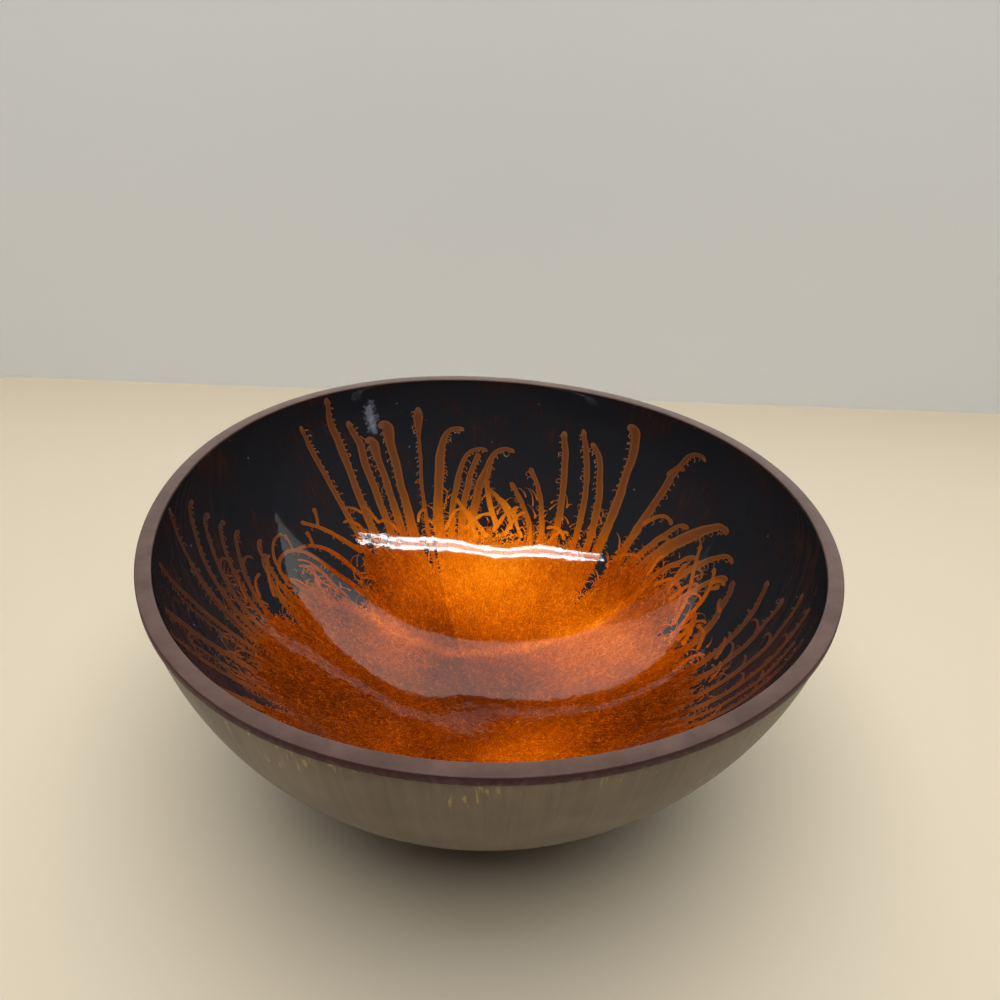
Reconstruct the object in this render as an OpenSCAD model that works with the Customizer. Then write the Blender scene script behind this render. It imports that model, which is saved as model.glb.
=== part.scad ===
// Lacquered coconut shell bowl. A sanded half shell with a flat cut rim and a flat base is lacquered
// black inside and purple-brown on the rim. Orange lacquer is blown outward from a pool in the middle
// into nine plumes of curved strands, each with a row of fine barbs along one edge.
// The origin is the middle of the base, and +Z is up.

/* [Shell] */
// Mean width of the shell across its rim
bowl_d = 135; // [115:1:155]
// Height from the table to the top of the rim
bowl_h = 58; // [50:1:66]
// Mean width of the flat sanded base
base_d = 38; // [28:1:50]
// Thickness of the shell at the rim
shell_rim_t = 1.9; // [1.5:0.1:3.5]
// Thickness of the shell at the bottom
shell_base_t = 3.6; // [2.8:0.1:5]
// How far the nut's oval swells the rim
oval_out = 1.2; // [0:0.1:2.4]
// How far the nut's three ridges swell the rim
ridge_out = 0.8; // [0:0.1:1.6]
// How far the sanded flats between them swell the rim
flat_out = 0.4; // [0:0.1:0.8]

/* [Lacquer] */
// Thickness of the black lacquer
lining_t = 0.4; // [0.3:0.05:0.8]
// Thickness of the rim lacquer
rim_coat_t = 0.4; // [0.3:0.05:0.8]
// How far the rim lacquer laps down the outside
rim_lap = 1.3; // [0.8:0.1:3]
// Thickness of the orange lacquer
plume_t = 0.2; // [0.15:0.05:0.4]
// Width of a blown strand
strand_w = 1.7; // [1.2:0.1:2]
// Length of the barbs on a strand
barb_l = 0.8; // [0.4:0.1:1]

/* [Hidden] */

// Directions of the oval, of one of the three ridges and of one of the flats
oval_dir = -61;
ridge_dir = 10;
flat_dir = 45;
// Powers that shape the side: 1 is a plain ellipse, and less is fuller
side_power = 0.91;
depth_power = 1.26;
// Hairline between one coat and the next
coat_gap = 0.05;
// Hairline under the orange coat, more than the lining's facets stand in from its true curve
film_gap = 0.35;
// Rounding of the rim lacquer's two edges
rim_ease = 0.25;

// Facets round the bowl and round the pool, and rows down the outside, the inside and the pool
ring_n = 56;
pool_n = 28;
outside_n = 10;
inside_n = 12;
pool_rows = 2;

shell_h = bowl_h - rim_coat_t - coat_gap;
base_dip = acos(pow(base_d / bowl_d, 1 / side_power));
full_depth = shell_h / depth_at(base_dip);
lining_back = coat_gap;
lining_face = coat_gap + lining_t;
film_back = lining_face + film_gap;

// How far the pool and the plumes' mats run, as shares of the way from the pole to the rim
pool_share = 0.135;
root_share = 0.14;
mat_share = 0.5;
// Each strand's reach, as a share of the way from the pole to the rim
right_reach_shares = [0.88, 0.86, 0.82, 0.78, 0.72, 0.68];
back_right_reach_shares = [0.70, 0.76, 0.70, 0.74, 0.80, 0.89];
back_reach_shares = [0.87, 0.76, 0.83, 0.80, 0.70, 0.64, 0.74, 0.68, 0.80];
back_left_reach_shares = [0.86, 0.80, 0.77, 0.85, 0.96, 0.88];
left_back_reach_shares = [0.68, 0.65, 0.69, 0.66, 0.70];
left_reach_shares = [0.76, 0.88, 0.95];
left_front_reach_shares = [0.92, 0.86, 0.84];
front_reach_shares = [0.80, 0.88, 0.76, 0.83, 0.90, 0.78, 0.72, 0.84, 0.80];
front_right_reach_shares = [0.78, 0.86, 0.92, 0.80, 0.74, 0.88, 0.82, 0.76, 0.90, 0.80];

// Rows of points along the mat and along a strand
mat_n = 4;
strand_n = 13;
// Share of a strand's slot that it fills in the mat, and how far apart neighbouring plumes stay
slot_share = 0.32;
seam_deg = 2;
// How a strand's width runs: webbed at its root, tapered along its length, and a bead near its tip
web_share = 0.7;
taper_share = 0.4;
bead_share = 0.35;
bead_from_share = 0.85;
// The stretch of a strand that carries barbs
barb_from_share = 0.2;
barb_to_share = 0.85;
// How evenly a strand leans: 1 is steadily, and more is mostly near the tip
lean_power = 1.6;
// How unevenly the strands leave the mat
ragged_share = 0.03;

// Half the rim's width in direction a
function rim_r(a) = bowl_d / 2 + oval_out * cos(2 * (a - oval_dir)) + ridge_out * cos(3 * (a - ridge_dir))
    + flat_out * cos(4 * (a - flat_dir));

// The side's curve: dip runs from 0 at the rim to 90 at the pole
function side_at(dip) = pow(cos(dip), side_power);
function depth_at(dip) = pow(sin(dip), depth_power);

// A point at radius r in direction a, at height z
function at(a, r, z) = [r * cos(a), r * sin(a), z];

// The shell's outside, and its inside drawn in by t
function outside(a, dip) = at(a, rim_r(a) * side_at(dip), shell_h - full_depth * depth_at(dip));
function inside(a, dip, t) = at(a, (rim_r(a) - shell_rim_t - t) * side_at(dip),
    shell_h - (shell_h - shell_base_t - t) * depth_at(dip));

// The orange coat at a share of the way from the pole to the rim, t above its back
function film(a, share, t) = inside(a, 90 * (1 - share), film_back + t);
function film_r(a, share) = norm([film(a, share, 0).x, film(a, share, 0).y]);
function film_ring(share, t) = [for (i = [0 : pool_n - 1]) film(turn(i, pool_n), share, t)];

function turn(i, n) = 360 * i / n;
function mix(a, b, share) = a + (b - a) * share;
function outside_ring(dip) = [for (i = [0 : ring_n - 1]) outside(turn(i, ring_n), dip)];
function inside_ring(dip, t) = [for (i = [0 : ring_n - 1]) inside(turn(i, ring_n), dip, t)];
function halves(a, b, c, d) = [[a, b, c], [a, c, d]];

// Rings of points joined in order and closed by a point at each end
module stacked(rings, first, last) {
    n = len(rings[0]);
    points = [first, for (ring = rings) each ring, last];
    end = len(points) - 1;
    polyhedron(points = points, faces = [
        for (i = [0 : n - 1]) [0, 1 + i, 1 + (i + 1) % n],
        for (j = [0 : len(rings) - 2], i = [0 : n - 1])
            let (a = 1 + j * n + i, b = 1 + j * n + (i + 1) % n)
            each halves(a, a + n, b + n, b),
        for (i = [0 : n - 1]) [end, end - n + (i + 1) % n, end - n + i]
    ]);
}

// Rings of points joined in order, and the last one to the first
module hoop(rings) {
    n = len(rings[0]);
    m = len(rings);
    polyhedron(points = [for (ring = rings) each ring], faces = [
        for (j = [0 : m - 1], i = [0 : n - 1])
            let (a = j * n + i, b = j * n + (i + 1) % n, up = ((j + 1) % m - j) * n)
            each halves(a, a + up, b + up, b)
    ]);
}

module coconut_shell() {
    color("#6b5a47")
        stacked(
            [
                for (j = [outside_n : -1 : 0]) outside_ring(base_dip * j / outside_n),
                for (j = [0 : inside_n - 1]) inside_ring(90 * j / inside_n, 0)
            ],
            [0, 0, 0],
            inside(0, 90, 0)
        );
}

module black_lining() {
    color("#1c1a1b")
        stacked(
            [
                for (j = [inside_n - 1 : -1 : 0]) inside_ring(90 * j / inside_n, lining_back),
                for (j = [0 : inside_n - 1]) inside_ring(90 * j / inside_n, lining_face)
            ],
            inside(0, 90, lining_back),
            inside(0, 90, lining_face)
        );
}

// A cap over the cut edge of the shell and the lining, with a lap down the outside
module rim_lacquer() {
    // Each corner of its section: how far out from the shell's edge, and its height
    inner = -shell_rim_t - lining_face;
    outer = coat_gap + rim_coat_t;
    corners = [
        [coat_gap, shell_h - rim_lap],
        [outer - rim_ease, shell_h - rim_lap],
        [outer, bowl_h - rim_ease],
        [outer - rim_ease, bowl_h],
        [inner + rim_ease, bowl_h],
        [inner, bowl_h - rim_ease],
        [inner, shell_h + coat_gap],
        [coat_gap, shell_h + coat_gap]
    ];
    color("#73625f")
        hoop([
            for (corner = corners)
                [for (i = [0 : ring_n - 1]) at(turn(i, ring_n), rim_r(turn(i, ring_n)) + corner.x, corner.y)]
        ]);
}

// The pool in the middle that all the plumes are blown from
module orange_pool() {
    color("#b25a12")
        stacked(
            [
                for (j = [1 : pool_rows]) film_ring(pool_share * j / pool_rows, 0),
                for (j = [pool_rows : -1 : 1]) film_ring(pool_share * j / pool_rows, plume_t)
            ],
            film(0, 0, 0),
            film(0, 0, plume_t)
        );
}

// Half a strand's width at a share of the way from the mat to its tip
function strand_half(share) = strand_w / 2 * (1 + web_share * pow(1 - share, 4)) * (1 - taper_share * share)
    * (share == 1 ? bead_share : share > bead_from_share ? 1 + bead_share : 1);

// One plume, a single sheet: its strands run side by side through the mat, joined by webs,
// and go on alone past the mat's edge
module plume(from, to, lean_first, lean_last, reach_shares) {
    n = len(reach_shares);
    rows = mat_n + strand_n;
    slot = (to - from - seam_deg) / n;
    mid = [for (k = [0 : n - 1]) from + seam_deg / 2 + slot * (k + 0.5)];
    lean = [for (k = [0 : n - 1]) mix(lean_first, lean_last, n > 1 ? k / (n - 1) : 0)];
    edge = [for (k = [0 : n - 1]) mat_share + ragged_share * cos(180 * k)];

    // A point of strand k in row j, on its left (way = 1) or right (way = -1), t above its back
    function strand_point(k, j, way, t) =
        j <= mat_n
            ? let (share = mix(root_share, edge[k], j / mat_n))
                film(mid[k] + way * slot * slot_share, share, t)
            : let (
                along = (j - mat_n) / strand_n,
                share = mix(edge[k], reach_shares[k], along),
                a = mid[k] + lean[k] * pow(along, lean_power),
                barb_side = lean[k] < 0 ? -1 : 1,
                in_barbs = along > barb_from_share && along < barb_to_share && (j - mat_n) % 2 == 1,
                barbed = way == barb_side && in_barbs,
                half = strand_half(along) + (barbed ? barb_l : 0)
            ) film(a + way * half / film_r(a, share) * 180 / PI, share, t);

    points = [
        for (k = [0 : n - 1], j = [0 : rows]) each [
            strand_point(k, j, 1, plume_t), strand_point(k, j, -1, plume_t),
            strand_point(k, j, -1, 0), strand_point(k, j, 1, 0)
        ]
    ];
    // A point's index: its strand, row and corner, counted left top, right top, right back, left back
    function at_corner(k, j, corner) = 4 * (k * (rows + 1) + j) + corner;
    // A face between two rows, from corner c of strand k to corner d of strand l
    function side(j, k, c, l, d) =
        halves(at_corner(k, j, c), at_corner(k, j + 1, c), at_corner(l, j + 1, d), at_corner(l, j, d));
    // The face across row j of strand k, and across the web from strand k to the next, towards the pole
    function strand_end(j, k) = [for (corner = [0 : 3]) at_corner(k, j, corner)];
    function web_end(j, k) =
        [at_corner(k + 1, j, 1), at_corner(k, j, 0), at_corner(k, j, 3), at_corner(k + 1, j, 2)];
    function outward(end) = halves(end[3], end[2], end[1], end[0]);
    function inward(end) = halves(end[0], end[1], end[2], end[3]);

    color("#c8600f")
        polyhedron(points = points, faces = [
            for (k = [0 : n - 1]) each [
                for (j = [0 : rows - 1]) each concat(side(j, k, 0, k, 1), side(j, k, 2, k, 3)),
                for (j = [k == 0 ? 0 : mat_n : rows - 1]) each side(j, k, 1, k, 2),
                for (j = [k == n - 1 ? 0 : mat_n : rows - 1]) each side(j, k, 3, k, 0),
                each inward(strand_end(0, k)),
                each outward(strand_end(rows, k))
            ],
            for (k = [0 : n - 2]) each [
                for (j = [0 : mat_n - 1]) each concat(side(j, k + 1, 1, k, 0), side(j, k, 3, k + 1, 2)),
                each inward(web_end(0, k)),
                each outward(web_end(mat_n, k))
            ]
        ]);
}

module plume_right() plume(-22, 15, 6, -2, right_reach_shares);
module plume_back_right() plume(15, 50, -4, -8, back_right_reach_shares);
module plume_back() plume(50, 110, 5, -9, back_reach_shares);
module plume_back_left() plume(110, 135, -2, 5, back_left_reach_shares);
module plume_left_back() plume(135, 171, 6, -6, left_back_reach_shares);
module plume_left() plume(171, 189, -8, -6, left_reach_shares);
module plume_left_front() plume(189, 208, 7, 4, left_front_reach_shares);
module plume_front() plume(208, 268, 5, -7, front_reach_shares);
module plume_front_right() plume(268, 338, 5, -5, front_right_reach_shares);

coconut_shell();
black_lining();
rim_lacquer();
orange_pool();
plume_right();
plume_back_right();
plume_back();
plume_back_left();
plume_left_back();
plume_left();
plume_left_front();
plume_front();
plume_front_right();
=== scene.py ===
import math
from collections import namedtuple
import bpy
import numpy as np
from mathutils import Matrix, Vector


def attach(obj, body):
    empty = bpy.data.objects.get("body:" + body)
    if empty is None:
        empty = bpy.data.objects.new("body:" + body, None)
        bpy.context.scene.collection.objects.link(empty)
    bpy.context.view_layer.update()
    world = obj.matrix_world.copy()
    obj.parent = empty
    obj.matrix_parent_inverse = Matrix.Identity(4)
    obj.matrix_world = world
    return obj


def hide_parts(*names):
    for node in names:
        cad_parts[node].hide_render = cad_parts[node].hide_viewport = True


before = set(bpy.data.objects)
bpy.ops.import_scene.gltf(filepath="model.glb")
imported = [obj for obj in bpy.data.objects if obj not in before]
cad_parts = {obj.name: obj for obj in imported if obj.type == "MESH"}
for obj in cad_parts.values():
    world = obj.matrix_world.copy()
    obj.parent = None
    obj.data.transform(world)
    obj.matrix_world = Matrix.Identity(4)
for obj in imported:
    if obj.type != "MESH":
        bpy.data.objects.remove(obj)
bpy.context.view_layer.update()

# A lacquered coconut shell bowl: the sanded shell, black lacquer inside, a purple-brown rim,
# and orange lacquer blown out from the middle into plumes of strands with curled barbs.
# Lengths are in mm and angles in degrees until a mesh is made. Directions turn left from +X.
# A share runs from 0 at the lowest point inside to 1 at the rim.

mm = 0.001
faceLong = 82  # from the lowest point inside to the rim, along the face

bowl = {
    "width": 135, "height": 58, "baseWidth": 38,
    "rimThick": 1.9, "baseThick": 3.6,
    "ovalOut": 1.2, "ridgeOut": 0.8, "flatOut": 0.4,
    "ovalDirection": -61, "ridgeDirection": 10, "flatDirection": 45,
    "sidePower": 0.91, "depthPower": 1.26,
    "liningThick": 0.4, "coatGap": 0.05,
    "rimCoatThick": 0.4, "rimLap": 1.3,
}


def sinD(angle):
    return np.sin(np.radians(angle))


def cosD(angle):
    return np.cos(np.radians(angle))


def rimRadius(direction):
    return (bowl["width"] / 2
            + bowl["ovalOut"] * cosD(2 * (direction - bowl["ovalDirection"]))
            + bowl["ridgeOut"] * cosD(3 * (direction - bowl["ridgeDirection"]))
            + bowl["flatOut"] * cosD(4 * (direction - bowl["flatDirection"])))


# The side's curve: dip is 0 at the rim and 90 at the pole
def sideAt(dip):
    return np.maximum(cosD(dip), 0) ** bowl["sidePower"]


def depthAt(dip):
    return np.maximum(sinD(dip), 0) ** bowl["depthPower"]


shellHigh = bowl["height"] - bowl["rimCoatThick"] - bowl["coatGap"]
baseDip = math.degrees(math.acos((bowl["baseWidth"] / bowl["width"]) ** (1 / bowl["sidePower"])))
fullDepth = shellHigh / depthAt(baseDip)
liningFace = bowl["coatGap"] + bowl["liningThick"]


def place(direction, radius, height):
    direction, radius, height = np.broadcast_arrays(direction, radius, height)
    return np.stack([radius * cosD(direction), radius * sinD(direction), height], -1)


def outsidePoint(direction, dip):
    return place(direction, rimRadius(direction) * sideAt(dip), shellHigh - fullDepth * depthAt(dip))


def insidePoint(direction, dip, inward):
    radius = (rimRadius(direction) - bowl["rimThick"] - inward) * sideAt(dip)
    return place(direction, radius, shellHigh - (shellHigh - bowl["baseThick"] - inward) * depthAt(dip))


# The polished black face that the orange lacquer lies on
def facePoint(direction, share):
    return insidePoint(direction, 90 * (1 - share), liningFace)


FaceFrame = namedtuple("FaceFrame", "point normal perDegree perShare")


# The face's point, its normal into the bowl, and mm per degree and per share
def faceFrame(direction, share):
    degreeStep, shareStep = 0.2, 0.002
    around = facePoint(direction + degreeStep, share) - facePoint(direction - degreeStep, share)
    outward = facePoint(direction, share + shareStep) - facePoint(direction, share - shareStep)
    aroundLong = np.linalg.norm(around, axis=-1)
    outwardLong = np.linalg.norm(outward, axis=-1)
    normal = np.cross(outward / outwardLong[..., None], around / aroundLong[..., None])
    normal /= np.linalg.norm(normal, axis=-1)[..., None]
    return FaceFrame(facePoint(direction, share), normal, aroundLong / (2 * degreeStep),
                     outwardLong / (2 * shareStep))


# The heading of a step along the face: 0 is straight to the rim and 90 is to the left along it
def headingOf(turnStep, shareStep, here):
    return np.degrees(np.arctan2(turnStep * here.perDegree, shareStep * here.perShare))


# The gloss settled a little flatter in the bottom than the formula, so its normals lean there
swell = {"lean": 3.0, "place": (0, 1), "wide": (26, 10)}


def glossNormal(direction, share, normal):
    point = facePoint(direction, share)
    x = (point[..., 0] - swell["place"][0]) / swell["wide"][0]
    y = (point[..., 1] - swell["place"][1]) / swell["wide"][1]
    leaned = normal + np.stack([x * 0, math.radians(swell["lean"]) * np.exp(-x * x - y * y), x * 0], -1)
    return leaned / np.linalg.norm(leaned, axis=-1)[..., None]


walkShares = (0.03, 0.985)  # no line leaves the face between these shares


# Steps along the face from a start, turning by each of bends: rows of direction, share and heading
def walk(direction, share, heading, bends, step):
    rows = [(direction, share, heading)]
    for bend in bends:
        here = faceFrame(direction, share)
        heading = heading + bend
        direction = direction + step * sinD(heading) / here.perDegree
        share = np.clip(share + step * cosD(heading) / here.perShare, *walkShares)
        rows.append((direction, share, heading))
    return [np.array(column) for column in zip(*rows)]


# Gathers points, faces, normals and per-point values, and makes one object of them
class Sheet:
    def __init__(self):
        self.points, self.normals, self.faces, self.values = [], [], [], {}
        self.count = 0

    def add(self, points, faces, normals=None, **values):
        self.points.append(points)
        self.normals.append(points * 0 if normals is None else normals)
        self.faces += [tuple(i + self.count for i in face) for face in faces]
        for name, value in values.items():
            self.values.setdefault(name, []).append(np.broadcast_to(value, len(points)).astype(float))
        self.count += len(points)

    def make(self, name, material):
        mesh = bpy.data.meshes.new(name)
        mesh.from_pydata([tuple(p) for p in np.concatenate(self.points) * mm], [], self.faces)
        for valueName, parts in self.values.items():
            layer = mesh.attributes.new(valueName, "FLOAT", "POINT")
            layer.data.foreach_set("value", np.concatenate(parts).astype(np.float32))
        mesh.update()
        mesh.shade_smooth()
        normals = np.concatenate(self.normals)
        if np.abs(normals).max() > 0:
            mesh.normals_split_custom_set_from_vertices([tuple(n) for n in normals])
        mesh.materials.append(material)
        piece = bpy.data.objects.new(name, mesh)
        bpy.context.scene.collection.objects.link(piece)
        return piece


def allRound(count):
    return np.arange(count) * 360 / count


def ringFaces(rows, around, closed=False):
    faces = []
    for row in range(rows if closed else rows - 1):
        below = row * around
        above = (row + 1) % rows * around
        for i in range(around):
            j = (i + 1) % around
            faces.append((below + i, below + j, above + j, above + i))
    return faces


# Rings closed at both ends by a pole. The two poles are the last two points
def poleFaces(rows, around):
    faces = ringFaces(rows, around)
    lowPole, last = rows * around, (rows - 1) * around
    for i in range(around):
        j = (i + 1) % around
        faces.append((lowPole, j, i))
        faces.append((lowPole + 1, last + i, last + j))
    return faces


def fromHex(text):
    parts = [int(text[i:i + 2], 16) / 255 for i in (1, 3, 5)]
    linear = [p / 12.92 if p <= 0.04045 else ((p + 0.055) / 1.055) ** 2.4 for p in parts]
    return (*linear, 1)


# Sets a node's inputs: each is a value, or (node, output) where it is linked
def setInputs(tree, node, inputs):
    for socket, content in inputs.items():
        if isinstance(content, tuple) and isinstance(content[0], bpy.types.Node):
            tree.links.new(content[0].outputs[content[1]], node.inputs[socket])
        else:
            node.inputs[socket].default_value = content


# Adds a node with its inputs and settings. Stops are a colour ramp's, with a hex colour or a grey
def addNode(tree, kind, inputs=None, stops=(), **settings):
    node = tree.nodes.new("ShaderNode" + kind)
    for name, value in settings.items():
        setattr(node, name, value)
    if stops:
        elements = node.color_ramp.elements
        while len(elements) < len(stops):
            elements.new(1)
        for element, (at, colour) in zip(elements, stops):
            element.position = at
            element.color = fromHex(colour) if isinstance(colour, str) else (colour,) * 3 + (1,)
    setInputs(tree, node, inputs or {})
    return node


def newMaterial(name):
    material = bpy.data.materials.new(name)
    material.use_nodes = True
    tree = material.node_tree
    tree.nodes.clear()
    shader = addNode(tree, "BsdfPrincipled")
    addNode(tree, "OutputMaterial", {"Surface": (shader, "BSDF")})
    return material, tree, shader


# Coordinates for marks that follow a meridian, wide mm across at this radius and long mm along it
def meridianVector(tree, coordinates, radius, wide, long):
    flat = addNode(tree, "VectorMath", {0: (coordinates, "Object"), 1: (1, 1, 0)}, operation="MULTIPLY")
    unit = addNode(tree, "VectorMath", {0: (flat, "Vector")}, operation="NORMALIZE")
    share = addNode(tree, "Attribute", attribute_name="share")
    rise = addNode(tree, "CombineXYZ", {"Z": (share, "Fac")})
    both = addNode(tree, "VectorMath", {0: (unit, "Vector"), 1: (rise, "Vector")})
    scale = (radius / wide, radius / wide, faceLong / long)
    return addNode(tree, "VectorMath", {0: (both, "Vector"), 1: scale}, operation="MULTIPLY")


gloss = {"weight": 0.5, "coatIor": 1.5, "coatRoughness": 0.035, "rippleWide": 3, "rippleHigh": 0.018,
         "swayWide": 17, "swayHigh": 0.26}


# The clear gloss over the black and the orange: the same slow ripple runs under both, and all that
# shines is the gloss
def addGloss(tree, shader, coordinates):
    ripple = addNode(tree, "TexNoise", {"Vector": (coordinates, "Object"),
                                        "Scale": 1 / (gloss["rippleWide"] * mm), "Detail": 3.0,
                                        "Roughness": 0.5})
    sway = addNode(tree, "TexNoise", {"Vector": (coordinates, "Object"), "Scale": 1 / (gloss["swayWide"] * mm),
                                      "Detail": 0.0})
    rippled = addNode(tree, "Bump", {"Height": (ripple, "Fac"), "Strength": 1.0,
                                     "Distance": gloss["rippleHigh"] * mm})
    swayed = addNode(tree, "Bump", {"Height": (sway, "Fac"), "Normal": (rippled, "Normal"), "Strength": 1.0,
                                    "Distance": gloss["swayHigh"] * mm})
    setInputs(tree, shader, {"Roughness": 0.5, "Specular IOR Level": 0, "Coat Weight": gloss["weight"],
                             "Coat IOR": gloss["coatIor"], "Coat Roughness": gloss["coatRoughness"],
                             "Coat Normal": (swayed, "Normal")})


black = {
    "stops": [(0.25, "#202226"), (0.34, "#272122"), (0.44, "#3A2520")],
    "brushWide": 1.3, "brushLong": 7, "patch": 14, "dust": "#8E9096", "dustApart": 5,
    "scuff": "#8C92A0", "scuffDirection": 119.5, "scuffShare": 0.855, "scuffLong": 12, "scuffWide": 4.5,
    "scratch": 1.3,
}


# Black lacquer, brushed on and polished: near black, with faint red-brown brush marks that run from
# the middle to the rim, a few specks of dust, and one pale scuff near the rim
def blackLacquer():
    material, tree, shader = newMaterial("black lacquer, polished")
    coordinates = addNode(tree, "TexCoord")
    brushed = meridianVector(tree, coordinates, bowl["width"] / 2, black["brushWide"], black["brushLong"])
    marks = addNode(tree, "TexNoise", {"Vector": (brushed, "Vector"), "Scale": 1.0, "Detail": 5.0,
                                       "Roughness": 0.7})
    patches = addNode(tree, "TexNoise", {"Vector": (coordinates, "Object"), "Scale": 1 / (black["patch"] * mm),
                                         "Detail": 2.0})
    both = addNode(tree, "Math", {0: (marks, "Fac"), 1: (patches, "Fac")}, operation="MULTIPLY")
    tint = addNode(tree, "ValToRGB", {"Fac": (both, "Value")}, black["stops"])
    # Dust: specks of 0.3 mm, few and far between
    dust = addNode(tree, "TexVoronoi", {"Vector": (coordinates, "Object"),
                                        "Scale": 1 / (black["dustApart"] * mm), "Randomness": 1.0})
    speck = addNode(tree, "MapRange", {"Value": (dust, "Distance"), "From Min": 0.03, "From Max": 0.06,
                                       "To Min": 0.45, "To Max": 0.0})
    dusted = addNode(tree, "Mix", {"Factor": (speck, "Result"), 6: (tint, "Color"), 7: fromHex(black["dust"])},
                     data_type="RGBA")
    # The scuff: a soft-edged streak of scratches down the wall
    middle = facePoint(black["scuffDirection"], black["scuffShare"])
    outer = facePoint(black["scuffDirection"], black["scuffShare"] + 0.05)
    slope = math.atan2(outer[2] - middle[2], math.hypot(outer[0] - middle[0], outer[1] - middle[1]))
    local = addNode(tree, "Mapping", {
        "Vector": (coordinates, "Object"), "Location": [part * mm for part in middle],
        "Rotation": (0, -slope, math.radians(black["scuffDirection"])),
        "Scale": (black["scuffLong"] * mm, black["scuffWide"] * mm, black["scuffWide"] * mm),
    }, vector_type="TEXTURE")
    away = addNode(tree, "VectorMath", {0: (local, "Vector")}, operation="LENGTH")
    near = addNode(tree, "MapRange", {"Value": (away, "Value"), "From Min": 0.1, "From Max": 1.0, "To Min": 0.5,
                                      "To Max": -0.35})
    scratches = addNode(tree, "TexNoise", {"Vector": (coordinates, "Object"),
                                           "Scale": 1 / (black["scratch"] * mm), "Detail": 4.0,
                                           "Roughness": 0.7})
    worn = addNode(tree, "Math", {0: (near, "Result"), 1: (scratches, "Fac")})
    wornShare = addNode(tree, "MapRange", {"Value": (worn, "Value"), "From Min": 0.70, "From Max": 1.0,
                                           "To Max": 0.8})
    scuffed = addNode(tree, "Mix", {"Factor": (wornShare, "Result"), 6: (dusted, 2),
                                    7: fromHex(black["scuff"])}, data_type="RGBA")
    setInputs(tree, shader, {"Base Color": (scuffed, 2)})
    addGloss(tree, shader, coordinates)
    return material


orange = {
    "stops": [(0.0, "#451800"), (0.2, "#782D00"), (0.4, "#A84700"), (0.6, "#D96600"), (0.8, "#FF8600"),
              (1.0, "#FFA42C")],
    "strandStops": [(0.0, "#B85A0A"), (0.25, "#96500F"), (0.5, "#76421B"), (0.84, "#6E3F22"),
                    (0.92, "#8A6244"), (1.0, "#AC8C70")],
    # The paler strand edges: a tan edge line with a painted highlight
    "edgeLineAndHighlightStops": [(0.0, 0.0), (0.5, 0.0), (0.8, 0.4), (0.93, 0.3), (1.0, 0.0)],
    "edge": "#9A642C", "thin": "#33282A", "hole": "#26150F",
    "radius": 40, "grainWide": 0.38, "grainLong": 1.1, "cloud": 6, "holeWide": 0.7, "holeLong": 1.5,
}
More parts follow.
